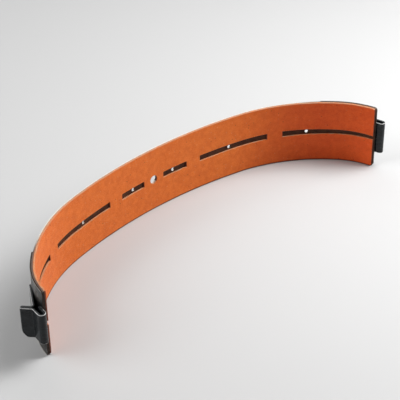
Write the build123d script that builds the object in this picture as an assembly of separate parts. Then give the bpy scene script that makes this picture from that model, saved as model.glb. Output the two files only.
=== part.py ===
from build123d import *
import os
from math import degrees, radians, tan

# Flexible lined brake band for an automatic transmission, in its free, sprung-open shape.
# It stands on its edge: +X runs from the anchor end to the apply end, the lined concave
# side faces -Y, and +Z is up across the band's width.  Millimetres and degrees.

# Free shape of the bonding face, from the middle of the band out to either end
crown_radius = 320.6
crown_span = 72.9
shoulder_radius = 106.6
shoulder_span = 70.6
hook_radius = 50.6
hook_span = 26.4

# Steel strap
band_width = 45.0
strap_thickness = 0.8
strap_corner = 2.0

# Friction lining, bonded to the strap's concave face
lining_thickness = 1.1
lining_side_margin = 0.2
lining_end_margin = 0.6
lining_corner = 1.6

# Row of slots in the lining along the middle of its width, measured from mid-band
slot_height = 4.2
short_slot_start = 8.5
short_slot_end = 28.3
long_slot_start = 39.7
long_slot_end = 93.7
end_slot_start = 105.0
end_slot_mouth = 2.6

# Through holes in the strap, one at mid-band and one in each slot
centre_hole_diameter = 5.7
oil_hole_diameter = 2.2
short_slot_hole = 17.4
long_slot_hole = 64.3
end_slot_hole = 122.1

# Reinforcement plates on the outer face of each end
doubler_length = 40.0
doubler_thickness = 0.8
doubler_corner = 2.0
doubler_fit_gap = 0.05

# Formed sheet lugs, each one strip folded into a loop with a hemmed ear
lug_sheet = 1.4
anchor_lug_width = 20.0
apply_lug_width = 23.0
lug_top_rise = 11.0
lug_corner = 1.5
lug_fit_gap = 0.05
foot_length = 4.4
foot_overhang = 2.4
heel_bend_radius = 1.75
shelf_length = 5.6
ear_lean = 50.0
ear_bend_radius = 1.6
ear_length = 5.4
hem_gap = 0.2
seat_bend_radius = 1.3
tongue_contact_angle = 23.0
tongue_tail = 4.6
ear_corner_along = 2.8
ear_corner_across = 7.0

# Spot weld dimples that show on the outer faces
weld_diameter = 4.0
weld_depth = 0.2
weld_edge = 6.5
weld_columns = (7.0, 20.0, 33.0)
tongue_weld_pitch = 10.0

# Sizes that follow from those above
half_length = crown_span + shoulder_span + hook_span
half_arcs = ((crown_radius, crown_span), (shoulder_radius, shoulder_span), (hook_radius, hook_span))
mid_width = band_width / 2
lug_top = mid_width + lug_top_rise
doubler_inner = strap_thickness + doubler_fit_gap
doubler_outer = doubler_inner + doubler_thickness
lug_base_radius = hook_radius + doubler_outer + lug_fit_gap
cut_through = 5.0
end_slot_cutter_reach = 25.0
length_match = 0.01
moves_before_hem = 6


def walk(distance):
    # place on the bonding face and heading there, at a distance to the right of mid-band
    place = Vector(0, 0, 0)
    heading = 0.0
    left = distance
    for radius, span in half_arcs:
        step = min(left, span)
        turn = degrees(step / radius)
        centre = place + Vector(0, -radius, 0).rotate(Axis.Z, heading)
        place = centre + (place - centre).rotate(Axis.Z, -turn)
        heading -= turn
        left -= step
    return place, heading


def face_plane(distance, height=0.0):
    # local plane on the bonding face: X along the band, Z outwards
    place, heading = walk(abs(distance))
    tangent = Vector(1, 0, 0).rotate(Axis.Z, heading)
    outward = Vector(0, 1, 0).rotate(Axis.Z, heading)
    if distance < 0:
        place = Vector(-place.X, place.Y, 0)
        tangent = Vector(tangent.X, -tangent.Y, 0)
        outward = Vector(-outward.X, outward.Y, 0)
    return Plane(origin=place + Vector(0, 0, height), x_dir=tangent, z_dir=outward)


def band_curve(offset, start, end):
    # tangent arcs that run parallel to the bonding face between two distances
    edges = []
    crown = (crown_radius, 2 * crown_span)
    spans = [*reversed(half_arcs[1:]), crown, *half_arcs[1:]]
    arc_start = -half_length
    for radius, span in spans:
        low = max(arc_start, start)
        high = min(arc_start + span, end)
        arc_start += span
        if high - low < length_match:
            continue
        plane = face_plane(low)
        begin = plane.origin + plane.z_dir * offset
        edges.append(JernArc(begin, plane.x_dir, radius + offset, -degrees((high - low) / radius)))
    return edges


def band_slab(inner, outer, start, end, low, high):
    # a layer of the band: offsets from the bonding face, distances along it and heights
    inside = band_curve(inner, start, end)
    outside = band_curve(outer, start, end)
    ends = [Line(inside[0] @ 0, outside[0] @ 0), Line(inside[-1] @ 1, outside[-1] @ 1)]
    face = make_face(Wire([*inside, *outside, *ends]))
    return Pos(0, 0, low) * extrude(face, high - low, dir=(0, 0, 1))


def round_corners(layer, thickness, radius):
    # rounds a layer's corners, on the short edges that run through its thickness
    through = [edge for edge in layer.edges() if abs(edge.length - thickness) < length_match]
    return fillet(through, radius)


def drilled(distance, diameter, inner, outer):
    # a round cutter through a layer, square to the band
    plane = face_plane(distance, mid_width)
    return plane * Pos(0, 0, (inner + outer) / 2) * Cylinder(diameter / 2, outer - inner + cut_through)


def closed_slot(start, end):
    # a square-ended slot cutter, through the lining only
    low = mid_width - slot_height / 2
    high = mid_width + slot_height / 2
    return band_slab(-lining_thickness - cut_through, cut_through, start, end, low, high)


def end_slot(side):
    # the slot that narrows towards the end of the band and is open there
    middle = (end_slot_start + half_length) / 2
    plane = face_plane(side * middle, mid_width)
    near = plane.to_local_coords(face_plane(side * end_slot_start).origin).X
    far = plane.to_local_coords(face_plane(side * half_length).origin).X
    beyond = far + cut_through
    outline = Polyline(
        (near, -slot_height / 2),
        (near, slot_height / 2),
        (beyond, end_slot_mouth / 2),
        (beyond, -end_slot_mouth / 2),
        close=True,
    )
    return extrude(plane * make_face(outline), end_slot_cutter_reach, both=True)


def make_strap():
    strap = band_slab(0, strap_thickness, -half_length, half_length, 0, band_width)
    holes = [drilled(0, centre_hole_diameter, 0, strap_thickness)]
    for distance in (short_slot_hole, long_slot_hole, end_slot_hole):
        holes.append(drilled(distance, oil_hole_diameter, 0, strap_thickness))
        holes.append(drilled(-distance, oil_hole_diameter, 0, strap_thickness))
    return round_corners(strap, strap_thickness, strap_corner) - holes


def make_lining():
    reach = half_length - lining_end_margin
    top = band_width - lining_side_margin
    lining = band_slab(-lining_thickness, 0, -reach, reach, lining_side_margin, top)
    cuts = [
        drilled(0, centre_hole_diameter, -lining_thickness, 0),
        closed_slot(short_slot_start, short_slot_end),
        closed_slot(-short_slot_end, -short_slot_start),
        closed_slot(long_slot_start, long_slot_end),
        closed_slot(-long_slot_end, -long_slot_start),
        end_slot(1),
        end_slot(-1),
    ]
    return round_corners(lining, lining_thickness, lining_corner) - cuts


def weld_dimple(plane, height):
    return plane * Pos(0, 0, height - weld_depth / 2) * Cylinder(weld_diameter / 2, weld_depth)


def make_doubler():
    # the plate at the right-hand end; the left one is its mirror image
    start = half_length - doubler_length
    plate = band_slab(doubler_inner, doubler_outer, start, half_length, 0, band_width)
    dimples = [
        weld_dimple(face_plane(start + column, height), doubler_outer)
        for column in weld_columns
        for height in (weld_edge, band_width - weld_edge)
    ]
    return round_corners(plate, doubler_thickness, doubler_corner) - dimples


def strip_side(start, heading, moves, offset):
    # one face of a bent strip: runs and bends as on the strip's centre line, moved to its left
    place = start + Vector(0, offset, 0).rotate(Axis.Z, heading)
    edges = []
    for radius, amount in moves:
        forward = Vector(1, 0, 0).rotate(Axis.Z, heading)
        if radius == 0:
            edges.append(Line(place, place + forward * amount))
        else:
            turn_side = 1 if amount > 0 else -1
            edges.append(JernArc(place, forward, radius - turn_side * offset, amount))
            heading += amount
        place = edges[-1] @ 1
    return edges, place, heading


def tongue_contact(height):
    # where the flat tongue lies on the round end plate, at a height above the plate's face
    outward = Vector(0, 1, 0).rotate(Axis.Z, tongue_contact_angle)
    return Vector(0, -hook_radius, 0) + outward * (lug_base_radius + height), outward


def lug_moves():
    # bend table of the lug strip from its foot round to its tongue, as (radius, angle) for
    # a bend and (0, length) for a flat, in the plane of the band's end
    foot_radius = lug_base_radius + lug_sheet / 2
    foot_angle = degrees(foot_length / foot_radius)
    start = Vector(0, -hook_radius, 0) + Vector(0, foot_radius, 0).rotate(Axis.Z, foot_angle)
    hem_radius = (lug_sheet + hem_gap) / 2
    moves = [
        (foot_radius, -foot_angle),
        (0, foot_overhang),
        (heel_bend_radius, 180),
        (0, shelf_length),
        (ear_bend_radius, -ear_lean),
        (0, ear_length),
        (hem_radius, 180),
    ]
    edges, tip, heading = strip_side(start, foot_angle, moves, 0)
    contact, outward = tongue_contact(lug_sheet / 2)
    down = Vector(1, 0, 0).rotate(Axis.Z, heading)
    seat_drop = (contact - tip).dot(outward) / down.dot(outward)
    seat_corner = tip + down * seat_drop
    seat_turn = heading - 180 - tongue_contact_angle
    setback = seat_bend_radius * tan(radians(seat_turn / 2))
    tongue_length = (seat_corner - contact).length + tongue_tail - setback
    moves += [(0, seat_drop - setback), (seat_bend_radius, -seat_turn), (0, tongue_length)]
    return start, foot_angle, moves


def hem_tip_reach():
    # how far the hem's outer face lies beyond the end of the ear's flat
    return lug_sheet + hem_gap / 2


def ear_corner(tip, heading, low):
    # takes a long rounded corner off the lower end of the ear, through both of its layers
    plane = Plane(
        origin=tip + Vector(0, 0, low),
        x_dir=Vector(1, 0, 0).rotate(Axis.Z, heading),
        z_dir=Vector(0, -1, 0).rotate(Axis.Z, heading),
    )
    depth = 3 * lug_sheet + hem_gap
    along = ear_corner_along + lug_sheet
    waste = Box(2 * along, 2 * ear_corner_across, 2 * depth)
    kept = Pos(-along, ear_corner_across, 0) * scale(Cylinder(1, 3 * depth), (along, ear_corner_across, 1))
    return plane * Pos(hem_tip_reach(), 0, 0) * (waste - kept)


def make_lug(width):
    # the lug at the right-hand end, in the local frame of the band's end and then in place
    middle = lug_top - width / 2
    start, heading, moves = lug_moves()
    left, left_end, last = strip_side(start, heading, moves, lug_sheet / 2)
    right, right_end, last = strip_side(start, heading, moves, -lug_sheet / 2)
    ends = [Line(left[0] @ 0, right[0] @ 0), Line(left_end, right_end)]
    profile = make_face(Wire([*left, *right, *ends]))
    strip = Pos(0, 0, middle) * extrude(profile, width / 2, dir=(0, 0, 1), both=True)
    strip = round_corners(strip, lug_sheet, lug_corner)
    ear_edges, ear_top, ear_heading = strip_side(start, heading, moves[:moves_before_hem], 0)
    cuts = [ear_corner(ear_top, ear_heading, lug_top - width)]
    contact, outward = tongue_contact(lug_sheet)
    for height in (middle - tongue_weld_pitch / 2, middle + tongue_weld_pitch / 2):
        spot = Plane(origin=contact + Vector(0, 0, height), x_dir=(0, 0, 1), z_dir=outward)
        cuts.append(weld_dimple(spot, 0))
    strip -= cuts
    place, end_heading = walk(half_length)
    return Pos(place.X, place.Y, 0) * Rot(0, 0, end_heading) * strip


def export_all(nodes):
    # the origin is at the middle of the footprint, on the surface that the band stands on
    boxes = [part.bounding_box() for part in nodes.values()]
    front = min(box.min.Y for box in boxes)
    back = max(box.max.Y for box in boxes)
    shift = Pos(0, -(front + back) / 2, 0)
    for name, part in nodes.items():
        export_step(shift * part, "parts/" + name + ".step")


os.makedirs("parts", exist_ok=True)
apply_doubler = make_doubler()
export_all(
    {
        "backing_strap": make_strap(),
        "friction_lining": make_lining(),
        "apply_doubler": apply_doubler,
        "apply_lug": make_lug(apply_lug_width),
        "anchor_doubler": mirror(apply_doubler, about=Plane.YZ),
        "anchor_lug": mirror(make_lug(anchor_lug_width), about=Plane.YZ),
    }
)
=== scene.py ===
import math

import bmesh
import bpy
from mathutils import Matrix, Vector


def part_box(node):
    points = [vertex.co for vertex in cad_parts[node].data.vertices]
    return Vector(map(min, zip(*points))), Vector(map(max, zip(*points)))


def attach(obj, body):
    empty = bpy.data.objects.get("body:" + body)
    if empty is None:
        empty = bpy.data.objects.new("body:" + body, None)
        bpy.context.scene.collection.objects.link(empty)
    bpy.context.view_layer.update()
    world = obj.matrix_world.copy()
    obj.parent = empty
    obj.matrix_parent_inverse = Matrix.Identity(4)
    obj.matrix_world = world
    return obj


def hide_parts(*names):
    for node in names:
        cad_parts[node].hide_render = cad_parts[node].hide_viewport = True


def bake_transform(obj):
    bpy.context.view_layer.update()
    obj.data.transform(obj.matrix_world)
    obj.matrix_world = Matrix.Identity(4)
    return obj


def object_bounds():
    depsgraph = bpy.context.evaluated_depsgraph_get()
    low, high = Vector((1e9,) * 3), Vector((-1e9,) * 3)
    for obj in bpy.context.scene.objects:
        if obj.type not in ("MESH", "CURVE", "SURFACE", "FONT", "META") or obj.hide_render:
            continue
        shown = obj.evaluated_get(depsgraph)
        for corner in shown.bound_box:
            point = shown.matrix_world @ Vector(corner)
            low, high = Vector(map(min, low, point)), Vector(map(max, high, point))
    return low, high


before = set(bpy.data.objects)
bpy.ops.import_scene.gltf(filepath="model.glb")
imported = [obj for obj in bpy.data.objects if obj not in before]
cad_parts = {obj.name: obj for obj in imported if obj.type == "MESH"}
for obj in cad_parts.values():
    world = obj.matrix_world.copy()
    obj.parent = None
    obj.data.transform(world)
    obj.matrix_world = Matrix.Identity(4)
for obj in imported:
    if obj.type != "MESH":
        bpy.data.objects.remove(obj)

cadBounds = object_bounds()
mm = 0.001
sheetWork = {
    "mergeGap": 0.002,                # millimetres: points nearer than this become one
    "sharpAngle": 40.0,               # degrees: outer corners sharper than this are eased
    "easingSteps": 2,
    "flatFacing": 0.94,               # how squarely a face looks through the sheet to be a flat side
    "burrFacing": 0.2,
    "normalWeight": 60,
}

# Flat sheets are laid out in millimetres: x along the strip, y through its thickness, z up its
# width.  They are cut and eased while flat, then rolled round the band or folded into a lug.


# working in sheet metal and paper

def roundedOutline(start, end, low, high, radius, steps=8):
    outline = []
    centres = [(end - radius, high - radius), (start + radius, high - radius),
               (start + radius, low + radius), (end - radius, low + radius)]
    for quarter, (along, up) in enumerate(centres):
        for step in range(steps + 1):
            angle = math.pi / 2 * (quarter + step / steps)
            outline.append((along + radius * math.cos(angle), up + radius * math.sin(angle)))
    return outline


def circleOutline(along, up, radius, steps=40):
    turns = [2 * math.pi * step / steps for step in range(steps)]
    return [(along + radius * math.cos(turn), up + radius * math.sin(turn)) for turn in turns]


def addPrism(sheet, outline, inner, outer, outerOutline=None):
    # a closed prism, or a tapered one where the outer outline differs
    bottom = [sheet.verts.new((along, inner, up)) for along, up in outline]
    top = [sheet.verts.new((along, outer, up)) for along, up in outerOutline or outline]
    sheet.faces.new(bottom)
    sheet.faces.new(reversed(top))
    count = len(bottom)
    for index in range(count):
        after = (index + 1) % count
        sheet.faces.new((bottom[index], top[index], top[after], bottom[after]))


def newObject(name, sheet):
    mesh = bpy.data.meshes.new(name)
    bmesh.ops.recalc_face_normals(sheet, faces=sheet.faces[:])
    sheet.to_mesh(mesh)
    made = bpy.data.objects.new(name, mesh)
    bpy.context.scene.collection.objects.link(made)
    return made


def evaluatedMesh(thing):
    depsgraph = bpy.context.evaluated_depsgraph_get()
    return bpy.data.meshes.new_from_object(thing.evaluated_get(depsgraph))


def punch(blank, cutter):
    # takes every prism of the cutter out of the blank in one go
    blankObject = newObject("blank", blank)
    cutterObject = newObject("cutter", cutter)
    cut = blankObject.modifiers.new("punch", "BOOLEAN")
    cut.operation = "DIFFERENCE"
    cut.solver = "EXACT"
    cut.object = cutterObject
    punched = bmesh.new()
    punched.from_mesh(evaluatedMesh(blankObject))
    bpy.data.objects.remove(blankObject)
    bpy.data.objects.remove(cutterObject)
    bmesh.ops.remove_doubles(punched, verts=punched.verts[:], dist=sheetWork["mergeGap"])
    return punched


def easeEdges(sheet, width):
    sharpest = math.radians(sheetWork["sharpAngle"])
    sharp = [edge for edge in sheet.edges
             if edge.is_manifold and edge.is_convex and edge.calc_face_angle() > sharpest]
    bmesh.ops.bevel(sheet, geom=sharp, offset=width, offset_type="OFFSET",
                    segments=sheetWork["easingSteps"], profile=0.5, affect="EDGES", clamp_overlap=False)


def addRollLines(sheet, places):
    # cross lines where the sheet will curve
    for place in places:
        everything = sheet.verts[:] + sheet.edges[:] + sheet.faces[:]
        bmesh.ops.bisect_plane(sheet, geom=everything, plane_co=(place, 0, 0),
                               plane_no=(1, 0, 0), dist=sheetWork["mergeGap"])


def evenly(start, end, step):
    count = max(1, round((end - start) / step))
    return [start + (end - start) * index / count for index in range(1, count)]


def formSheet(name, sheet, form, finishes, grainShift=0.0, flip=False):
    # finishes are those of the inner face, the outer face, the long rims and the cross cuts, and
    # where there is a fifth, of the burr round the inner face, painted near-white as its glint
    many = [face for face in sheet.faces if len(face.verts) > 4]
    bmesh.ops.triangulate(sheet, faces=many)
    sheet.normal_update()
    for face in sheet.faces:
        face.smooth = True
        if abs(face.normal.y) > sheetWork["flatFacing"]:
            face.material_index = 1 if face.normal.y > 0 else 0
        elif len(finishes) > 4 and face.normal.y < -sheetWork["burrFacing"]:
            face.material_index = 4
        else:
            face.material_index = 3 if abs(face.normal.x) > abs(face.normal.z) else 2
    flat = [vert.co.copy() for vert in sheet.verts]
    for vert in sheet.verts:
        vert.co = form(vert.co)
    if flip:
        bmesh.ops.reverse_faces(sheet, faces=sheet.faces[:])
    mesh = bpy.data.meshes.new(name)
    sheet.to_mesh(mesh)
    piece = bpy.data.objects.new(name, mesh)
    bpy.context.scene.collection.objects.link(piece)
    lay = mesh.attributes.new("sheetPlace", "FLOAT_VECTOR", "POINT")
    for index, place in enumerate(flat):
        lay.data[index].vector = (place.x + grainShift, place.z, place.y)
    for finish in finishes:
        mesh.materials.append(finish)
    even = piece.modifiers.new("even", "WEIGHTED_NORMAL")
    even.weight = sheetWork["normalWeight"]
    even.keep_sharp = True
    finished = evaluatedMesh(piece)
    piece.modifiers.clear()
    piece.data = finished
    finished.name = name
    print("made", name, len(finished.polygons), "faces")
    return piece


# the band's rolled shape

bandForm = {
    "arcs": [(320.6, 72.9), (106.6, 70.6), (50.6, 26.4)],   # radius and length, middle to end
    "width": 45.0,
    "rollStep": 1.6,
}
halfLength = sum(length for radius, length in bandForm["arcs"])
midWidth = bandForm["width"] / 2

strapForm = {
    "thickness": 0.8,
    "corner": 2.0,
    "centreHole": 5.7,
    "oilHole": 2.2,
    "oilHolePlaces": [17.4, 64.3, 122.1],
    "easing": 0.12,
    "brightReach": 132.0,             # the rims are bright up to this far from mid-band
}
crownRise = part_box("backing_strap")[1].y / mm - strapForm["thickness"]


def bandPlace(distance):
    # point of the bonding face and how far it has turned, from the middle out to either side
    along, rise, turned = 0.0, 0.0, 0.0
    left = abs(distance)
    for radius, length in bandForm["arcs"]:
        turn = min(left, length) / radius
        along += radius * (math.sin(turned + turn) - math.sin(turned))
        rise += radius * (math.cos(turned + turn) - math.cos(turned))
        turned += turn
        left -= min(left, length)
    side = -1 if distance < 0 else 1
    return side * along, rise + crownRise, side * turned


def rollUp(flat):
    x, y, turned = bandPlace(flat.x)
    return Vector((x + flat.y * math.sin(turned), y + flat.y * math.cos(turned), flat.z)) * mm


# shader helpers

def addNode(tree, kind, values=None, **settings):
    node = tree.nodes.new(kind)
    for name, value in settings.items():
        setattr(node, name, value)
    for socket, value in (values or {}).items():
        if isinstance(value, bpy.types.NodeSocket):
            tree.links.new(value, node.inputs[socket])
        else:
            node.inputs[socket].default_value = value
    return node


def calc(tree, operation, first, second=0.0, third=0.0, clamp=False):
    return addNode(tree, "ShaderNodeMath", {0: first, 1: second, 2: third},
                   operation=operation, use_clamp=clamp).outputs[0]


def smoothBetween(tree, value, low, high):
    return addNode(tree, "ShaderNodeMapRange", {"Value": value, "From Min": low, "From Max": high},
                   interpolation_type="SMOOTHSTEP").outputs["Result"]


def noiseAt(tree, place, scale, detail=2.0, roughness=0.5, distortion=0.0):
    return addNode(tree, "ShaderNodeTexNoise",
                   {"Vector": place, "Scale": scale, "Detail": detail, "Roughness": roughness,
                    "Distortion": distortion}).outputs["Fac"]


def scaledPlace(tree, place, factors):
    return addNode(tree, "ShaderNodeVectorMath", {0: place, 1: factors}, operation="MULTIPLY").outputs[0]


def blendColour(tree, mask, first, second, mode="MIX"):
    node = addNode(tree, "ShaderNodeMix", data_type="RGBA", blend_type=mode)
    for index, value in ((0, mask), (6, first), (7, second)):
        if isinstance(value, bpy.types.NodeSocket):
            tree.links.new(value, node.inputs[index])
        else:
            node.inputs[index].default_value = value
    return node.outputs[2]


def startGroup(name, inputs, outputs):
    group = bpy.data.node_groups.new(name, "ShaderNodeTree")
    for label, kind, value in inputs:
        socket = group.interface.new_socket(label, in_out="INPUT", socket_type=kind)
        if value is not None:
            socket.default_value = value
    for label in outputs:
        group.interface.new_socket(label, in_out="OUTPUT", socket_type="NodeSocketFloat")
    given = group.nodes.new("NodeGroupInput").outputs
    result = group.nodes.new("NodeGroupOutput").inputs
    return group, given, result


number = "NodeSocketFloat"
vector = "NodeSocketVector"


def makeCloudGroup():
    # broad soft patches and a finer second layer of them
    group, given, result = startGroup(
        "cloudyPatches", [("Place", vector, None), ("Size", number, 10.0)], ["Patches", "Flecks"])
    shrink = calc(group, "DIVIDE", 1.0, given["Size"])
    near = addNode(group, "ShaderNodeVectorMath", {0: given["Place"], "Scale": shrink},
                   operation="SCALE").outputs[0]
    patches = smoothBetween(group, noiseAt(group, near, 1.0, 3.0, 0.55, 0.4), 0.3, 0.7)
    flecks = smoothBetween(group, noiseAt(group, near, 6.0, 2.0, 0.6), 0.35, 0.65)
    group.links.new(patches, result["Patches"])
    group.links.new(flecks, result["Flecks"])
    return group


def makeGrainGroup():
    # lines drawn along a rolled sheet, with fine grit over them
    group, given, result = startGroup(
        "drawnGrain", [("Place", vector, None), ("Pitch", number, 0.5), ("Stretch", number, 30.0)],
        ["Streaks", "Grit"])
    across = calc(group, "DIVIDE", 1.0, given["Pitch"])
    along = calc(group, "DIVIDE", across, given["Stretch"])
    factors = addNode(group, "ShaderNodeCombineXYZ", {0: along, 1: across, 2: across}).outputs[0]
    streaks = noiseAt(group, scaledPlace(group, given["Place"], factors), 1.0, 3.0, 0.6)
    grit = noiseAt(group, given["Place"], 3.2, 2.0, 0.7)
    group.links.new(smoothBetween(group, streaks, 0.25, 0.75), result["Streaks"])
    group.links.new(smoothBetween(group, grit, 0.3, 0.7), result["Grit"])
    return group


def makeScuffGroup():
    # short thin scratches that gather in patches, and greasy smears
    group, given, result = startGroup(
        "handlingScuffs", [("Place", vector, None), ("Length", number, 6.0)], ["Scratches", "Smears"])
    total = None
    for turn, seed in ((0.35, 11.0), (-0.6, 47.0), (1.2, 83.0)):
        turned = addNode(group, "ShaderNodeVectorRotate",
                         {"Vector": given["Place"], "Axis": (0, 0, 1), "Angle": turn},
                         rotation_type="AXIS_ANGLE").outputs[0]
        along = calc(group, "DIVIDE", 1.0, given["Length"])
        factors = addNode(group, "ShaderNodeCombineXYZ", {0: along, 1: 2.6, 2: 0.4}).outputs[0]
        stretched = scaledPlace(group, turned, factors)
        moved = addNode(group, "ShaderNodeVectorMath", {0: stretched, 1: (seed, seed / 3, 0)},
                        operation="ADD").outputs[0]
        ridge = calc(group, "ABSOLUTE", calc(group, "SUBTRACT", noiseAt(group, moved, 1.0, 1.0), 0.5))
        line = calc(group, "SUBTRACT", 1.0, smoothBetween(group, ridge, 0.0, 0.02))
        total = line if total is None else calc(group, "MAXIMUM", total, line)
    patches = smoothBetween(group, noiseAt(group, given["Place"], 0.16, 2.0), 0.5, 0.68)
    group.links.new(calc(group, "MULTIPLY", total, patches), result["Scratches"])
    smears = noiseAt(group, scaledPlace(group, given["Place"], (0.05, 0.12, 0.1)), 1.0, 4.0, 0.6, 1.2)
    group.links.new(smoothBetween(group, smears, 0.42, 0.7), result["Smears"])
    return group


def makeFibreGroup():
    # matted short fibres of the friction paper, and its resin and carbon specks
    group, given, result = startGroup(
        "mattedFibres", [("Place", vector, None), ("Fibre", number, 1.1)],
        ["Fibres", "Pale Specks", "Dark Specks"])
    pitch = calc(group, "DIVIDE", 1.0, given["Fibre"])
    total = None
    for turn, seed in ((0.2, 5.0), (1.3, 29.0), (2.4, 61.0)):
        turned = addNode(group, "ShaderNodeVectorRotate",
                         {"Vector": given["Place"], "Axis": (0, 0, 1), "Angle": turn},
                         rotation_type="AXIS_ANGLE").outputs[0]
        spread = addNode(group, "ShaderNodeVectorMath", {0: turned, "Scale": pitch},
                         operation="SCALE").outputs[0]
        stretched = scaledPlace(group, spread, (0.35, 1.6, 1.0))
        moved = addNode(group, "ShaderNodeVectorMath", {0: stretched, 1: (seed, 0, seed)},
                        operation="ADD").outputs[0]
        ridge = noiseAt(group, moved, 1.0, 2.0, 0.5, 0.8)
        ridge = calc(group, "ABSOLUTE", calc(group, "SUBTRACT", ridge, 0.5))
        line = calc(group, "SUBTRACT", 1.0, smoothBetween(group, ridge, 0.0, 0.07))
        total = line if total is None else calc(group, "MAXIMUM", total, line)
    group.links.new(total, result["Fibres"])
    for label, scale, size in (("Pale Specks", 0.42, 0.1), ("Dark Specks", 0.3, 0.075)):
        cells = addNode(group, "ShaderNodeTexVoronoi",
                        {"Vector": given["Place"], "Scale": scale, "Randomness": 1.0})
        faded = smoothBetween(group, cells.outputs["Distance"], size, size * 1.6)
        speck = calc(group, "SUBTRACT", 1.0, faded)
        pick = addNode(group, "ShaderNodeSeparateColor", {0: cells.outputs["Color"]}).outputs[0]
        chosen = calc(group, "GREATER_THAN", pick, 0.55)
        group.links.new(calc(group, "MULTIPLY", speck, chosen), result[label])
    return group


def makeRimGroup():
    # rubbed bands beside the two long edges of a strip
    group, given, result = startGroup(
        "rubbedRims", [("Place", vector, None), ("Low", number, 0.0), ("High", number, 45.0),
                       ("Reach", number, 1.2)], ["Rubbed"])
    parts = addNode(group, "ShaderNodeSeparateXYZ", {0: given["Place"]}).outputs
    fromLow = calc(group, "SUBTRACT", parts[1], given["Low"])
    fromHigh = calc(group, "SUBTRACT", given["High"], parts[1])
    nearest = calc(group, "MINIMUM", fromLow, fromHigh)
    ragged = noiseAt(group, given["Place"], 0.7, 4.0, 0.7)
    spread = calc(group, "MULTIPLY", given["Reach"], calc(group, "MULTIPLY", ragged, 2.0))
    share = calc(group, "DIVIDE", nearest, spread)
    group.links.new(calc(group, "SUBTRACT", 1.0, smoothBetween(group, share, 0.2, 1.0)), result["Rubbed"])
    return group


def makeWeldGroup():
    # heat tint round spot welds set in two rows: a bright dish, a blue-brown ring and a pale halo
    group, given, result = startGroup(
        "weldHeat", [("Place", vector, None), ("First", number, 0.0), ("Pitch", number, 13.0),
                     ("Row", number, 16.0), ("Middle", number, 22.5), ("Dish", number, 1.6)],
        ["Dish", "Ring", "Halo"])
    parts = addNode(group, "ShaderNodeSeparateXYZ", {0: given["Place"]}).outputs
    half = calc(group, "MULTIPLY", given["Pitch"], 0.5)
    offset = calc(group, "ADD", calc(group, "SUBTRACT", parts[0], given["First"]), half)
    wrapped = calc(group, "SUBTRACT", calc(group, "FLOORED_MODULO", offset, given["Pitch"]), half)
    fromRow = calc(group, "ABSOLUTE", calc(group, "SUBTRACT", parts[1], given["Middle"]))
    up = calc(group, "SUBTRACT", fromRow, given["Row"])
    square = calc(group, "ADD", calc(group, "MULTIPLY", wrapped, wrapped), calc(group, "MULTIPLY", up, up))
    away = calc(group, "SQRT", square)
    wander = calc(group, "MULTIPLY", noiseAt(group, given["Place"], 0.8, 2.0), 0.9)
    ragged = calc(group, "ADD", away, calc(group, "SUBTRACT", wander, 0.45))
    reach = calc(group, "DIVIDE", ragged, given["Dish"])
    group.links.new(calc(group, "SUBTRACT", 1.0, smoothBetween(group, reach, 0.7, 1.05)), result["Dish"])
    inside = smoothBetween(group, reach, 0.9, 1.35)
    outside = calc(group, "SUBTRACT", 1.0, smoothBetween(group, reach, 1.5, 2.2))
    group.links.new(calc(group, "MULTIPLY", inside, outside), result["Ring"])
    group.links.new(calc(group, "SUBTRACT", 1.0, smoothBetween(group, reach, 1.4, 3.2)), result["Halo"])
    return group


cloudGroup = makeCloudGroup()
grainGroup = makeGrainGroup()
scuffGroup = makeScuffGroup()
fibreGroup = makeFibreGroup()
rimGroup = makeRimGroup()
weldGroup = makeWeldGroup()
print("shader groups ready")


def startFinish(name):
    finish = bpy.data.materials.new(name)
    finish.use_nodes = True
    tree = finish.node_tree
    shader = tree.nodes["Principled BSDF"]
    place = addNode(tree, "ShaderNodeAttribute", attribute_name="sheetPlace").outputs["Vector"]
    return finish, tree, shader, place


def fillGroup(tree, group, values):
    node = tree.nodes.new("ShaderNodeGroup")
    node.node_tree = group
    for label, value in values.items():
        if isinstance(value, bpy.types.NodeSocket):
            tree.links.new(value, node.inputs[label])
        else:
            node.inputs[label].default_value = value
    return node.outputs


def addBump(tree, shader, height, strength, depth):
    bump = addNode(tree, "ShaderNodeBump", {"Strength": strength, "Distance": depth, "Height": height})
    tree.links.new(bump.outputs["Normal"], shader.inputs["Normal"])


# friction lining

paperLook = {
    "deep": (0.60, 0.106, 0.0105, 1),
    "fair": (0.72, 0.155, 0.0195, 1),
    "fibre": (0.78, 0.23, 0.046, 1),
    "paleSpeck": (0.64, 0.33, 0.16, 1),
    "darkSpeck": (0.13, 0.032, 0.008, 1),
    "endShade": (0.95, 0.44, 0.42, 1),       # painted shade: the band's +x part is made darker and redder, standing in for the shade that falls there
    "rim": (0.52, 0.27, 0.16, 1),
    # painted shade for the lining's lower edge, where it meets the floor
    "lowEdgeShade": (0.10, 0.026, 0.012, 1),
    # dark cut ends: partly a resin-sealed cut, partly painted shade
    "sealedShade": (0.08, 0.020, 0.011, 1),
    "sealedShadePale": (0.16, 0.044, 0.022, 1),
    "patchSize": 4.0,
    "fibreSize": 0.8,
    # how strongly each layer covers the ones below it
    "fibreShare": 0.4,
    "fleckShare": 0.35,
    "paleSpeckShare": 0.55,
    "darkSpeckShare": 0.75,
    "endShadeShare": 0.75,
    "endShadeRun": (55.0, 135.0),        # along the band, from where to where the painted shade sets in
    "lowShadeShare": 0.85,
    "lowShadeRun": (0.65, 1.25),         # up from the band's lower edge, over which the painted shade fades out
    # painted highlight along the upper edge of the face
    "topHighlightShare": 0.6,
    "topHighlightRun": (44.0, 44.6),
    # painted shade on the lining's lower rim
    "rimStainAndShadeShare": 0.9,
    "roughness": 0.52,
    "specular": 0.2,
    "sheen": 0.1,
    "sheenRoughness": 0.3,
    "bump": (0.35, 0.00012),          # strength, and height in metres
    "rimBump": (0.6, 0.00015),
    "cutBump": (0.5, 0.00012),
}


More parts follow.
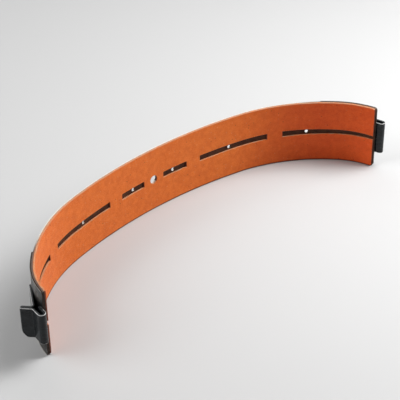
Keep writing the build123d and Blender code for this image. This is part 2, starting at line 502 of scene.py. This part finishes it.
def makePaperFace():
    finish, tree, shader, place = startFinish("frictionPaper")
    clouds = fillGroup(tree, cloudGroup, {"Place": place, "Size": paperLook["patchSize"]})
    matted = fillGroup(tree, fibreGroup, {"Place": place, "Fibre": paperLook["fibreSize"]})
    colour = blendColour(tree, clouds["Patches"], paperLook["deep"], paperLook["fair"])
    thin = calc(tree, "MULTIPLY", matted["Fibres"], paperLook["fibreShare"])
    colour = blendColour(tree, thin, colour, paperLook["fibre"])
    flecked = calc(tree, "MULTIPLY", clouds["Flecks"], paperLook["fleckShare"])
    colour = blendColour(tree, flecked, colour, paperLook["deep"])
    pale = calc(tree, "MULTIPLY", matted["Pale Specks"], paperLook["paleSpeckShare"])
    colour = blendColour(tree, pale, colour, paperLook["paleSpeck"])
    dark = calc(tree, "MULTIPLY", matted["Dark Specks"], paperLook["darkSpeckShare"])
    colour = blendColour(tree, dark, colour, paperLook["darkSpeck"])
    along, up = addNode(tree, "ShaderNodeSeparateXYZ", {0: place}).outputs[:2]
    # painted shade: darker and redder toward the band's +x end
    endShade = calc(tree, "MULTIPLY", smoothBetween(tree, along, *paperLook["endShadeRun"]),
                 paperLook["endShadeShare"])
    colour = blendColour(tree, endShade, colour, paperLook["endShade"], "MULTIPLY")
    # painted shade: a dark band along the face's lower edge, standing in for the contact shade at the floor
    aboveShade = smoothBetween(tree, up, *paperLook["lowShadeRun"])
    darkened = calc(tree, "MULTIPLY", calc(tree, "SUBTRACT", 1.0, aboveShade), paperLook["lowShadeShare"])
    colour = blendColour(tree, darkened, colour, paperLook["lowEdgeShade"])
    # painted highlight: the face turns paler within about 1 mm of its upper edge, as if lit from above
    topHighlight = calc(tree, "MULTIPLY", smoothBetween(tree, up, *paperLook["topHighlightRun"]), paperLook["topHighlightShare"])
    colour = blendColour(tree, topHighlight, colour, paperLook["rim"])
    tree.links.new(colour, shader.inputs["Base Color"])
    rough = calc(tree, "MULTIPLY_ADD", clouds["Flecks"], 0.12, paperLook["roughness"])
    rough = calc(tree, "SUBTRACT", rough, calc(tree, "MULTIPLY", matted["Fibres"], 0.06))
    tree.links.new(rough, shader.inputs["Roughness"])
    shader.inputs["Specular IOR Level"].default_value = paperLook["specular"]
    shader.inputs["Sheen Weight"].default_value = paperLook["sheen"]
    shader.inputs["Sheen Roughness"].default_value = paperLook["sheenRoughness"]
    height = calc(tree, "MULTIPLY", clouds["Flecks"], 0.5)
    height = calc(tree, "MULTIPLY_ADD", matted["Fibres"], 0.5, height)
    addBump(tree, shader, height, *paperLook["bump"])
    return finish


def makePaperRim():
    # long edges: the upper one is trimmed neatly, and the lower one is painted dark as the shade where it
    # meets the floor
    finish, tree, shader, place = startFinish("frictionPaperRim")
    clouds = fillGroup(tree, cloudGroup, {"Place": place, "Size": 3.0})
    matted = fillGroup(tree, fibreGroup, {"Place": place, "Fibre": 0.45})
    colour = blendColour(tree, clouds["Patches"], paperLook["fair"], paperLook["rim"])
    loose = calc(tree, "MULTIPLY", matted["Fibres"], 0.5)
    colour = blendColour(tree, loose, colour, paperLook["paleSpeck"])
    up = addNode(tree, "ShaderNodeSeparateXYZ", {0: place}).outputs[1]
    # painted shade on the lower rim, up to 2 mm from the band's lower edge
    darkened = calc(tree, "LESS_THAN", up, 2.0)
    darkened = calc(tree, "MULTIPLY", darkened, paperLook["rimStainAndShadeShare"])
    colour = blendColour(tree, darkened, colour, paperLook["lowEdgeShade"])
    tree.links.new(colour, shader.inputs["Base Color"])
    tree.links.new(calc(tree, "MULTIPLY_ADD", clouds["Flecks"], 0.15, 0.7), shader.inputs["Roughness"])
    height = calc(tree, "ADD", matted["Fibres"], clouds["Flecks"])
    addBump(tree, shader, height, *paperLook["rimBump"])
    return finish


def makePaperCut():
    # cross cuts and slot end walls, dark partly as a resin-sealed cut and partly as painted shade
    finish, tree, shader, place = startFinish("frictionPaperCut")
    clouds = fillGroup(tree, cloudGroup, {"Place": place, "Size": 2.0})
    matted = fillGroup(tree, fibreGroup, {"Place": place, "Fibre": 0.5})
    colour = blendColour(tree, clouds["Patches"], paperLook["sealedShade"], paperLook["sealedShadePale"])
    colour = blendColour(tree, calc(tree, "MULTIPLY", matted["Fibres"], 0.25), colour, paperLook["deep"])
    tree.links.new(colour, shader.inputs["Base Color"])
    tree.links.new(calc(tree, "MULTIPLY_ADD", clouds["Flecks"], 0.2, 0.5), shader.inputs["Roughness"])
    addBump(tree, shader, calc(tree, "ADD", matted["Fibres"], clouds["Flecks"]), *paperLook["cutBump"])
    return finish


liningForm = {
    "thickness": 1.1,
    "sideMargin": 0.2,
    "endMargin": 0.6,
    "corner": 1.6,
    "slotHeight": 4.2,
    "slots": [(8.5, 28.3), (39.7, 93.7)],
    "slotCorner": 0.3,
    "endSlotStart": 105.0,
    "endSlotMouth": 2.6,
    "easing": 0.18,
}


def makeLining():
    form = liningForm
    reach = halfLength - form["endMargin"]
    low = form["sideMargin"]
    high = bandForm["width"] - low
    blank = bmesh.new()
    addPrism(blank, roundedOutline(-reach, reach, low, high, form["corner"]), -form["thickness"], 0)
    cutter = bmesh.new()
    deep = form["thickness"] * 2
    halfSlot = form["slotHeight"] / 2
    addPrism(cutter, circleOutline(0, midWidth, strapForm["centreHole"] / 2), -deep, deep)
    for side in (-1, 1):
        for near, far in form["slots"]:
            start, end = sorted((side * near, side * far))
            outline = roundedOutline(start, end, midWidth - halfSlot, midWidth + halfSlot,
                                     form["slotCorner"], 3)
            addPrism(cutter, outline, -deep, deep)
        near, far = side * form["endSlotStart"], side * (halfLength + 1)
        mouth = form["endSlotMouth"] / 2
        outline = [(near, midWidth - halfSlot), (far, midWidth - mouth), (far, midWidth + mouth),
                   (near, midWidth + halfSlot)]
        addPrism(cutter, outline, -deep, deep)
    sheet = punch(blank, cutter)
    easeEdges(sheet, form["easing"])
    addRollLines(sheet, evenly(-halfLength, halfLength, bandForm["rollStep"]))
    face = makePaperFace()
    return formSheet("lining", sheet, rollUp, [face, face, makePaperRim(), makePaperCut()])


# backing strap

strapLook = {
    "outer": (0.105, 0.095, 0.088, 1),
    "outerPale": (0.20, 0.185, 0.17, 1),
    "smear": (0.050, 0.038, 0.030, 1),
    "film": (0.040, 0.013, 0.006, 1),
    "filmPale": (0.085, 0.030, 0.013, 1),
    "sheared": (0.46, 0.44, 0.42, 1),
    "burnished": (0.86, 0.78, 0.66, 1),
    "rimStain": (0.11, 0.05, 0.03, 1),
    "darkCut": (0.022, 0.012, 0.008, 1),
    "darkCutPale": (0.050, 0.026, 0.017, 1),
    "smearShare": 0.35,
    "streakShare": 0.45,
    "scratchShare": 0.6,
    "rubbedShare": 0.7,
    "rubbedReach": 1.3,
    "metallic": 0.85,
    "filmSpecular": 0.12,
    "rimMetallic": 0.4,
    "rimStainAndShadeShare": 0.93,
    "rimStainFade": 20.0,             # millimetres over which the bright rims turn dark
    "cutMetallic": 0.2,
    "cutSpecular": 0.12,
}


def makeStrapOuter():
    finish, tree, shader, place = startFinish("strapSteel")
    clouds = fillGroup(tree, cloudGroup, {"Place": place, "Size": 22.0})
    grain = fillGroup(tree, grainGroup, {"Place": place, "Pitch": 0.45, "Stretch": 60.0})
    scuffs = fillGroup(tree, scuffGroup, {"Place": place, "Length": 9.0})
    rims = fillGroup(tree, rimGroup, {"Place": place, "Low": 0.0, "High": bandForm["width"],
                                      "Reach": strapLook["rubbedReach"]})
    colour = blendColour(tree, clouds["Patches"], strapLook["outer"], strapLook["outerPale"])
    for mask, share, shade in ((scuffs["Smears"], "smearShare", "smear"),
                               (grain["Streaks"], "streakShare", "outerPale"),
                               (scuffs["Scratches"], "scratchShare", "sheared"),
                               (rims["Rubbed"], "rubbedShare", "sheared")):
        covered = calc(tree, "MULTIPLY", mask, strapLook[share])
        colour = blendColour(tree, covered, colour, strapLook[shade])
    tree.links.new(colour, shader.inputs["Base Color"])
    rough = calc(tree, "MULTIPLY_ADD", grain["Streaks"], 0.16, 0.3)
    rough = calc(tree, "MULTIPLY_ADD", scuffs["Smears"], 0.12, rough)
    tree.links.new(rough, shader.inputs["Roughness"])
    shader.inputs["Metallic"].default_value = strapLook["metallic"]
    height = calc(tree, "ADD", grain["Streaks"], calc(tree, "MULTIPLY", grain["Grit"], 0.4))
    height = calc(tree, "SUBTRACT", height, scuffs["Scratches"])
    addBump(tree, shader, height, 0.25, 0.00005)
    return finish


def makeStrapFilm():
    finish, tree, shader, place = startFinish("bondingResin")
    clouds = fillGroup(tree, cloudGroup, {"Place": place, "Size": 6.0})
    grain = fillGroup(tree, grainGroup, {"Place": place, "Pitch": 0.6, "Stretch": 12.0})
    colour = blendColour(tree, clouds["Patches"], strapLook["film"], strapLook["filmPale"])
    colour = blendColour(tree, calc(tree, "MULTIPLY", grain["Streaks"], 0.3), colour, strapLook["smear"])
    tree.links.new(colour, shader.inputs["Base Color"])
    tree.links.new(calc(tree, "MULTIPLY_ADD", clouds["Flecks"], 0.2, 0.5), shader.inputs["Roughness"])
    shader.inputs["Specular IOR Level"].default_value = strapLook["filmSpecular"]
    addBump(tree, shader, calc(tree, "ADD", clouds["Flecks"], grain["Grit"]), 0.3, 0.00008)
    return finish


def makeRimSteel():
    # long edges of the strap, slit and burnished bright, and stained beside the end plates
    finish, tree, shader, place = startFinish("burnishedSteel")
    grain = fillGroup(tree, grainGroup, {"Place": place, "Pitch": 1.4, "Stretch": 0.12})
    clouds = fillGroup(tree, cloudGroup, {"Place": place, "Size": 4.0})
    colour = blendColour(tree, grain["Streaks"], strapLook["sheared"], strapLook["burnished"])
    dulled = calc(tree, "MULTIPLY", clouds["Patches"], 0.15)
    colour = blendColour(tree, dulled, colour, strapLook["sheared"])
    along = addNode(tree, "ShaderNodeSeparateXYZ", {0: place}).outputs[0]
    brightReach = strapForm["brightReach"]
    nearPlate = smoothBetween(tree, calc(tree, "ABSOLUTE", along), brightReach - strapLook["rimStainFade"],
                              brightReach)
    darkened = calc(tree, "MULTIPLY", nearPlate, strapLook["rimStainAndShadeShare"])
    colour = blendColour(tree, darkened, colour, strapLook["rimStain"])
    tree.links.new(colour, shader.inputs["Base Color"])
    tree.links.new(calc(tree, "MULTIPLY_ADD", grain["Grit"], 0.2, 0.4), shader.inputs["Roughness"])
    shader.inputs["Metallic"].default_value = strapLook["rimMetallic"]
    addBump(tree, shader, calc(tree, "ADD", grain["Streaks"], grain["Grit"]), 0.25, 0.00005)
    return finish


def makeCutSteel():
    # sheared edges that were blackened with oil and heat: smooth where cut, torn below
    finish, tree, shader, place = startFinish("shearedSteel")
    grain = fillGroup(tree, grainGroup, {"Place": place, "Pitch": 1.2, "Stretch": 0.15})
    clouds = fillGroup(tree, cloudGroup, {"Place": place, "Size": 3.0})
    colour = blendColour(tree, grain["Streaks"], strapLook["darkCut"], strapLook["darkCutPale"])
    colour = blendColour(tree, calc(tree, "MULTIPLY", clouds["Flecks"], 0.06), colour, strapLook["sheared"])
    tree.links.new(colour, shader.inputs["Base Color"])
    tree.links.new(calc(tree, "MULTIPLY_ADD", grain["Grit"], 0.25, 0.35), shader.inputs["Roughness"])
    shader.inputs["Metallic"].default_value = strapLook["cutMetallic"]
    shader.inputs["Specular IOR Level"].default_value = strapLook["cutSpecular"]
    addBump(tree, shader, calc(tree, "ADD", grain["Streaks"], grain["Grit"]), 0.35, 0.00006)
    return finish


rimSteel = makeRimSteel()
cutSteel = makeCutSteel()


def makeStrap():
    form = strapForm
    blank = bmesh.new()
    outline = roundedOutline(-halfLength, halfLength, 0, bandForm["width"], form["corner"])
    addPrism(blank, outline, 0, form["thickness"])
    cutter = bmesh.new()
    reach = form["thickness"] * 3
    addPrism(cutter, circleOutline(0, midWidth, form["centreHole"] / 2), -reach, reach)
    for distance in form["oilHolePlaces"]:
        for side in (-1, 1):
            outline = circleOutline(side * distance, midWidth, form["oilHole"] / 2, 28)
            addPrism(cutter, outline, -reach, reach)
    sheet = punch(blank, cutter)
    easeEdges(sheet, form["easing"])
    addRollLines(sheet, evenly(-halfLength, halfLength, bandForm["rollStep"]))
    return formSheet("strap", sheet, rollUp, [makeStrapFilm(), makeStrapOuter(), rimSteel, cutSteel])


# end plates

plateForm = {
    "length": 40.0,
    "thickness": 0.8,
    "gap": 0.05,
    "corner": 2.0,
    "weldColumns": [7.0, 20.0, 33.0],
    "weldEdge": 6.5,
    "weldTop": 2.0,
    "weldBottom": 1.45,
    "weldDepth": 0.2,
    "easing": 0.14,
}
plateLook = {
    "steel": (0.050, 0.052, 0.053, 1),
    "steelPale": (0.10, 0.102, 0.102, 1),
    "smear": (0.028, 0.028, 0.028, 1),
    "ring": (0.030, 0.028, 0.040, 1),
    "halo": (0.13, 0.095, 0.055, 1),
    "dish": (0.26, 0.255, 0.25, 1),
    "streakShare": 0.35,
    "smearShare": 0.5,
    "haloShare": 0.5,
    "ringShare": 0.8,
    "dishShare": 0.7,
    "scratchShare": 0.5,
    "rubbedShare": 0.6,
    "rubbedReach": 1.0,
    "metallic": 0.95,
}


def makePlateSteel(firstWeld):
    finish, tree, shader, place = startFinish("plateSteel")
    clouds = fillGroup(tree, cloudGroup, {"Place": place, "Size": 14.0})
    grain = fillGroup(tree, grainGroup, {"Place": place, "Pitch": 0.3, "Stretch": 40.0})
    scuffs = fillGroup(tree, scuffGroup, {"Place": place, "Length": 5.0})
    rims = fillGroup(tree, rimGroup, {"Place": place, "Low": 0.0, "High": bandForm["width"],
                                      "Reach": plateLook["rubbedReach"]})
    first, second = plateForm["weldColumns"][:2]
    heat = fillGroup(tree, weldGroup, {"Place": place, "First": firstWeld, "Pitch": second - first,
                                       "Row": midWidth - plateForm["weldEdge"], "Middle": midWidth})
    colour = blendColour(tree, clouds["Patches"], plateLook["steel"], plateLook["steelPale"])
    for mask, share, shade in ((grain["Streaks"], "streakShare", plateLook["steelPale"]),
                               (scuffs["Smears"], "smearShare", plateLook["smear"]),
                               (heat["Halo"], "haloShare", plateLook["halo"]),
                               (heat["Ring"], "ringShare", plateLook["ring"]),
                               (heat["Dish"], "dishShare", plateLook["dish"]),
                               (scuffs["Scratches"], "scratchShare", strapLook["burnished"]),
                               (rims["Rubbed"], "rubbedShare", strapLook["burnished"])):
        covered = calc(tree, "MULTIPLY", mask, plateLook[share])
        colour = blendColour(tree, covered, colour, shade)
    tree.links.new(colour, shader.inputs["Base Color"])
    rough = calc(tree, "MULTIPLY_ADD", grain["Streaks"], 0.14, 0.26)
    rough = calc(tree, "MULTIPLY_ADD", scuffs["Smears"], 0.15, rough)
    tree.links.new(rough, shader.inputs["Roughness"])
    shader.inputs["Metallic"].default_value = plateLook["metallic"]
    height = calc(tree, "ADD", grain["Streaks"], calc(tree, "MULTIPLY", grain["Grit"], 0.5))
    height = calc(tree, "SUBTRACT", height, scuffs["Scratches"])
    addBump(tree, shader, height, 0.25, 0.00005)
    return finish


def makePlate(name, side):
    form = plateForm
    near, far = side * (halfLength - form["length"]), side * halfLength
    start, end = min(near, far), max(near, far)
    inner = strapForm["thickness"] + form["gap"]
    outer = inner + form["thickness"]
    blank = bmesh.new()
    addPrism(blank, roundedOutline(start, end, 0, bandForm["width"], form["corner"]), inner, outer)
    cutter = bmesh.new()
    slope = (form["weldTop"] - form["weldBottom"]) / form["weldDepth"]
    for column in form["weldColumns"]:
        for height in (form["weldEdge"], bandForm["width"] - form["weldEdge"]):
            place = near + side * column
            addPrism(cutter, circleOutline(place, height, form["weldBottom"], 32),
                     outer - form["weldDepth"], outer + form["weldDepth"],
                     circleOutline(place, height, form["weldTop"] + slope * form["weldDepth"], 32))
    sheet = punch(blank, cutter)
    easeEdges(sheet, form["easing"])
    addRollLines(sheet, evenly(start, end, 1.0))
    steel = makePlateSteel(near + side * form["weldColumns"][0])
    return formSheet(name, sheet, rollUp, [steel, steel, cutSteel, cutSteel])


# folded lugs

lugForm = {
    "sheet": 1.4,
    "widths": {-1: 20.0, 1: 23.0},    # of the anchor lug and of the apply lug
    "top": 33.5,              # height of their upper edges above the band's lower edge
    "corner": 1.5,
    # strip's centre line from its foot to its tongue: (radius, turn) bends and (0, length) flats
    "bends": [(53.0, -4.7566), (0, 2.4), (1.75, 180), (0, 5.6), (1.6, -50), (0, 5.4), (0.8, 180),
              (0, 4.4756), (1.3, -107), (0, 19.7822)],
    "hem": 6,                 # which of those is the hem at the tip of the ear
    "notchAlong": 4.0,
    "notchUp": 7.0,
    "weldFromTail": 4.6,
    "weldPitch": 10.0,
    "weldTop": 2.0,
    "weldBottom": 1.4,
    "weldDepth": 0.2,
    "easing": 0.26,
    "turnStep": 12.0,                 # degrees of fold between roll lines
    "flatStep": 4.0,
    "tightRadius": 5.0,               # folds tighter than this strain the oxide
}
lugLook = {
    "oxide": (0.0035, 0.0048, 0.0058, 1),
    "oxideGrey": (0.010, 0.013, 0.015, 1),
    "bare": (0.30, 0.30, 0.30, 1),
    # bare burr steel painted near-white as a painted highlight
    "burrGlint": (0.88, 0.87, 0.86, 1),
    "smearShare": 0.4,
    "wornShare": 0.03,
    "scratchShare": 0.1,
    "rubbedShare": 0.06,
    "rubbedReach": 0.5,
    "specular": 0.25,
    "burrSoilShare": 0.12,
    "burrMetallic": 0.1,
}


def makeLugOxide(low):
    finish, tree, shader, place = startFinish("blackOxide")
    clouds = fillGroup(tree, cloudGroup, {"Place": place, "Size": 7.0})
    grain = fillGroup(tree, grainGroup, {"Place": place, "Pitch": 0.35, "Stretch": 10.0})
    scuffs = fillGroup(tree, scuffGroup, {"Place": place, "Length": 3.0})
    rims = fillGroup(tree, rimGroup, {"Place": place, "Low": low, "High": lugForm["top"],
                                      "Reach": lugLook["rubbedReach"]})
    strain = addNode(tree, "ShaderNodeAttribute", attribute_name="foldStrain").outputs["Fac"]
    worn = calc(tree, "MULTIPLY", strain, smoothBetween(tree, grain["Streaks"], 0.35, 0.8))
    colour = blendColour(tree, clouds["Patches"], lugLook["oxide"], lugLook["oxideGrey"])
    for mask, share, shade in ((scuffs["Smears"], "smearShare", "oxideGrey"), (worn, "wornShare", "bare"),
                               (scuffs["Scratches"], "scratchShare", "bare"),
                               (rims["Rubbed"], "rubbedShare", "bare")):
        covered = calc(tree, "MULTIPLY", mask, lugLook[share])
        colour = blendColour(tree, covered, colour, lugLook[shade])
    tree.links.new(colour, shader.inputs["Base Color"])
    rough = calc(tree, "MULTIPLY_ADD", clouds["Flecks"], 0.05, 0.14)
    rough = calc(tree, "MULTIPLY_ADD", scuffs["Smears"], 0.06, rough)
    tree.links.new(rough, shader.inputs["Roughness"])
    shader.inputs["Specular IOR Level"].default_value = lugLook["specular"]
    height = calc(tree, "ADD", grain["Streaks"], calc(tree, "MULTIPLY", grain["Grit"], 0.5))
    addBump(tree, shader, height, 0.06, 0.00002)
    return finish


def makeBurrGlint():
    finish, tree, shader, place = startFinish("lugBurrGlint")
    grain = fillGroup(tree, grainGroup, {"Place": place, "Pitch": 1.0, "Stretch": 0.2})
    clouds = fillGroup(tree, cloudGroup, {"Place": place, "Size": 5.0})
    # painted highlight: the bare burr is painted near-white so that it shows as a bright glint
    colour = blendColour(tree, grain["Streaks"], lugLook["bare"], lugLook["burrGlint"])
    soiled = calc(tree, "MULTIPLY", clouds["Patches"], lugLook["burrSoilShare"])
    colour = blendColour(tree, soiled, colour, lugLook["oxideGrey"])
    tree.links.new(colour, shader.inputs["Base Color"])
    tree.links.new(calc(tree, "MULTIPLY_ADD", grain["Grit"], 0.2, 0.4), shader.inputs["Roughness"])
    shader.inputs["Metallic"].default_value = lugLook["burrMetallic"]
    addBump(tree, shader, calc(tree, "ADD", grain["Streaks"], grain["Grit"]), 0.3, 0.00006)
    return finish


burrAndGlint = makeBurrGlint()


def bendTable():
    # where each run of the strip starts along its length, and its place and heading there,
    # x beyond the band's end and y outwards from its bonding face
    bends = lugForm["bends"]
    footRadius, footTurn = bends[0]
    hookRadius = bandForm["arcs"][-1][0]
    lean = math.radians(-footTurn)
    place = Vector((-footRadius * math.sin(lean), footRadius * math.cos(lean) - hookRadius))
    heading, along, runs = lean, 0.0, []
    for radius, amount in bends:
        turn = math.radians(amount) if radius else 0.0
        length = radius * abs(turn) if radius else amount
        runs.append((along, length, place.copy(), heading, radius, turn))
        if radius:
            side = 1 if turn > 0 else -1
            centre = place + side * radius * Vector((-math.sin(heading), math.cos(heading)))
            place = centre - side * radius * Vector((-math.sin(heading + turn), math.cos(heading + turn)))
        else:
            place = place + length * Vector((math.cos(heading), math.sin(heading)))
        heading += turn
        along += length
    return runs, along


lugRuns, lugLength = bendTable()


def foldedPlace(along, off):
    for start, length, place, heading, radius, turn in lugRuns:
        if along <= start + length + 1e-6:
            break
    part = along - start
    if radius:
        side = 1 if turn > 0 else -1
        centre = place + side * radius * Vector((-math.sin(heading), math.cos(heading)))
        heading += turn * part / length
        place = centre - side * radius * Vector((-math.sin(heading), math.cos(heading)))
    else:
        place = place + part * Vector((math.cos(heading), math.sin(heading)))
    return place + off * Vector((-math.sin(heading), math.cos(heading)))


def foldAt(side):
    endX, endY, turned = bandPlace(side * halfLength)

    def fold(flat):
        local = foldedPlace(flat.x, flat.y)
        x = endX + side * local.x * math.cos(turned) + local.y * math.sin(turned)
        y = endY - side * local.x * math.sin(turned) + local.y * math.cos(turned)
        return Vector((x, y, flat.z)) * mm
    return fold


def notchOutline(middle, low, steps=12):
    # two quarter ellipses that meet at the tip of the ear, taken off its lower edge
    along, up = lugForm["notchAlong"], lugForm["notchUp"]
    side = []
    for step in range(steps):
        angle = math.pi / 2 * step / steps
        side.append((along * (1 - math.sin(angle)), up * (1 - math.cos(angle))))
    outline = [(middle - across, low + rise) for across, rise in side]
    outline.append((middle, low + up))
    outline += [(middle + across, low + rise) for across, rise in reversed(side)]
    return outline + [(middle + along, low - 2), (middle - along, low - 2)]


def makeLug(name, side, grainShift):
    form = lugForm
    half = form["sheet"] / 2
    high = form["top"]
    low = high - form["widths"][side]
    middle = (low + high) / 2
    blank = bmesh.new()
    addPrism(blank, roundedOutline(0, lugLength, low, high, form["corner"], 6), -half, half)
    cutter = bmesh.new()
    hemStart, hemLength = lugRuns[form["hem"]][:2]
    addPrism(cutter, notchOutline(hemStart + hemLength / 2, low), -3 * half, 3 * half)
    slope = (form["weldTop"] - form["weldBottom"]) / form["weldDepth"]
    weldPlace = lugLength - form["weldFromTail"]
    for height in (middle - form["weldPitch"] / 2, middle + form["weldPitch"] / 2):
        addPrism(cutter, circleOutline(weldPlace, height, form["weldTop"] + slope * form["weldDepth"], 32),
                 -half - form["weldDepth"], -half + form["weldDepth"],
                 circleOutline(weldPlace, height, form["weldBottom"], 32))
    sheet = punch(blank, cutter)
    easeEdges(sheet, form["easing"])
    lines = []
    for start, length, place, heading, radius, turn in lugRuns:
        step = math.radians(form["turnStep"]) * radius if radius else form["flatStep"]
        lines += [start] + evenly(start, start + length, min(step, form["flatStep"]))
    addRollLines(sheet, lines[1:])
    flatAlong = [vert.co.x for vert in sheet.verts]
    blackOxide = makeLugOxide(low)
    finishes = [blackOxide, blackOxide, blackOxide, blackOxide, burrAndGlint]
    piece = formSheet(name, sheet, foldAt(side), finishes, grainShift, side < 0)
    strain = piece.data.attributes.new("foldStrain", "FLOAT", "POINT")
    for index, along in enumerate(flatAlong):
        strained = any(0 < radius < form["tightRadius"] and start - 0.01 <= along <= start + length + 0.01
                       for start, length, place, heading, radius, turn in lugRuns)
        strain.data[index].value = 1.0 if strained else 0.0
    return piece


# building the band

lining = makeLining()
strap = makeStrap()
anchorPlate = makePlate("anchorPlate", -1)
applyPlate = makePlate("applyPlate", 1)
anchorLug = makeLug("anchorLug", -1, 300.0)
applyLug = makeLug("applyLug", 1, 0.0)

for piece, node, slot in ((lining, "friction_lining", "friction_lining"),
                          (strap, "backing_strap", "strap_steel")):
    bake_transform(piece)
    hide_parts(node)
for piece, node, body, slot in ((anchorPlate, "anchor_doubler", "anchor_end", "doubler_steel"),
                                (applyPlate, "apply_doubler", "apply_end", "doubler_steel"),
                                (anchorLug, "anchor_lug", "anchor_end", "lug_steel"),
                                (applyLug, "apply_lug", "apply_end", "lug_steel")):
    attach(piece, body)
    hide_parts(node)
print("pieces ride on their bodies")


# floor, light and camera

studioForm = {
    "floorSize": 6.0,
    "floorTone": (0.50, 0.50, 0.50, 1),
    "worldTone": (1.0, 1.0, 1.0, 1),
    "worldStrength": 0.05,
    "floorRoughness": 0.75,
    "floorDrop": 0.05,                # millimetres below the band, so that the two don't fight
    # softboxes: direction round the object and height in degrees, distance, size, watts
    "boxes": {
        "keyBox": (-30, 40, 0.75, 0.40, 6.0),
        "highBox": (-15, 60, 0.75, 0.40, 3.1),
        "sideBox": (150, 35, 1.20, 0.90, 10.2),
        "rimBox": (60, 35, 1.20, 0.80, 3.0),
    },
}


def makeFloor():
    floorMesh = bpy.data.meshes.new("floor")
    half = studioForm["floorSize"] / 2
    floorMesh.from_pydata([(-half, -half, 0), (half, -half, 0), (half, half, 0), (-half, half, 0)], [],
                          [(0, 1, 2, 3)])
    floor = bpy.data.objects.new("floor", floorMesh)
    bpy.context.scene.collection.objects.link(floor)
    paper = bpy.data.materials.new("floorPaper")
    paper.use_nodes = True
    shader = paper.node_tree.nodes["Principled BSDF"]
    shader.inputs["Base Color"].default_value = studioForm["floorTone"]
    shader.inputs["Roughness"].default_value = studioForm["floorRoughness"]
    floorMesh.materials.append(paper)
    floor.location.z = cadBounds[0][2] - studioForm["floorDrop"] * mm


def makeLights():
    world = bpy.data.worlds.new("studio")
    bpy.context.scene.world = world
    world.use_nodes = True
    sky = world.node_tree.nodes["Background"]
    sky.inputs["Color"].default_value = studioForm["worldTone"]
    sky.inputs["Strength"].default_value = studioForm["worldStrength"]
    for name, (around, height, distance, size, watts) in studioForm["boxes"].items():
        lamp = bpy.data.lights.new(name, "AREA")
        lamp.shape = "SQUARE"
        lamp.size = size
        lamp.energy = watts
        box = bpy.data.objects.new(name, lamp)
        bpy.context.scene.collection.objects.link(box)
        turn, rise = math.radians(around), math.radians(height)
        toBox = Vector((math.cos(turn) * math.cos(rise), math.sin(turn) * math.cos(rise), math.sin(rise)))
        box.location = toBox * distance
        box.rotation_euler = (-toBox).to_track_quat("-Z", "Y").to_euler()


cameraForm = {
    "heading": 43.995,                # degrees, turned right from looking along +Y
    "elevation": 33.198,
    "distance": 834.05,               # millimetres, to the aim point on the floor
    "aim": (28.03, 21.21),             # from the middle of the footprint
    "lens": 113.1,
    "roll": -0.73,
}


def makeCamera():
    camera = bpy.data.objects.new("camera", bpy.data.cameras.new("camera"))
    bpy.context.scene.collection.objects.link(camera)
    camera.data.sensor_width = 36
    camera.data.lens = cameraForm["lens"]
    camera.data.clip_start = 0.01
    turned, raised = math.radians(cameraForm["heading"]), math.radians(cameraForm["elevation"])
    look = Vector((math.sin(turned) * math.cos(raised), math.cos(turned) * math.cos(raised),
                   -math.sin(raised)))
    low, high = Vector(cadBounds[0]), Vector(cadBounds[1])
    aim = Vector(((low.x + high.x) / 2 + cameraForm["aim"][0] * mm,
                  (low.y + high.y) / 2 + cameraForm["aim"][1] * mm, low.z))
    turn = Matrix.Rotation(-turned, 4, "Z") @ Matrix.Rotation(math.pi / 2 - raised, 4, "X")
    turn = turn @ Matrix.Rotation(math.radians(cameraForm["roll"]), 4, "Z")
    camera.matrix_world = Matrix.Translation(aim - look * cameraForm["distance"] * mm) @ turn
    bpy.context.scene.camera = camera


makeFloor()
makeLights()
makeCamera()
bpy.context.scene.view_settings.view_transform = "Standard"
print("studio ready")
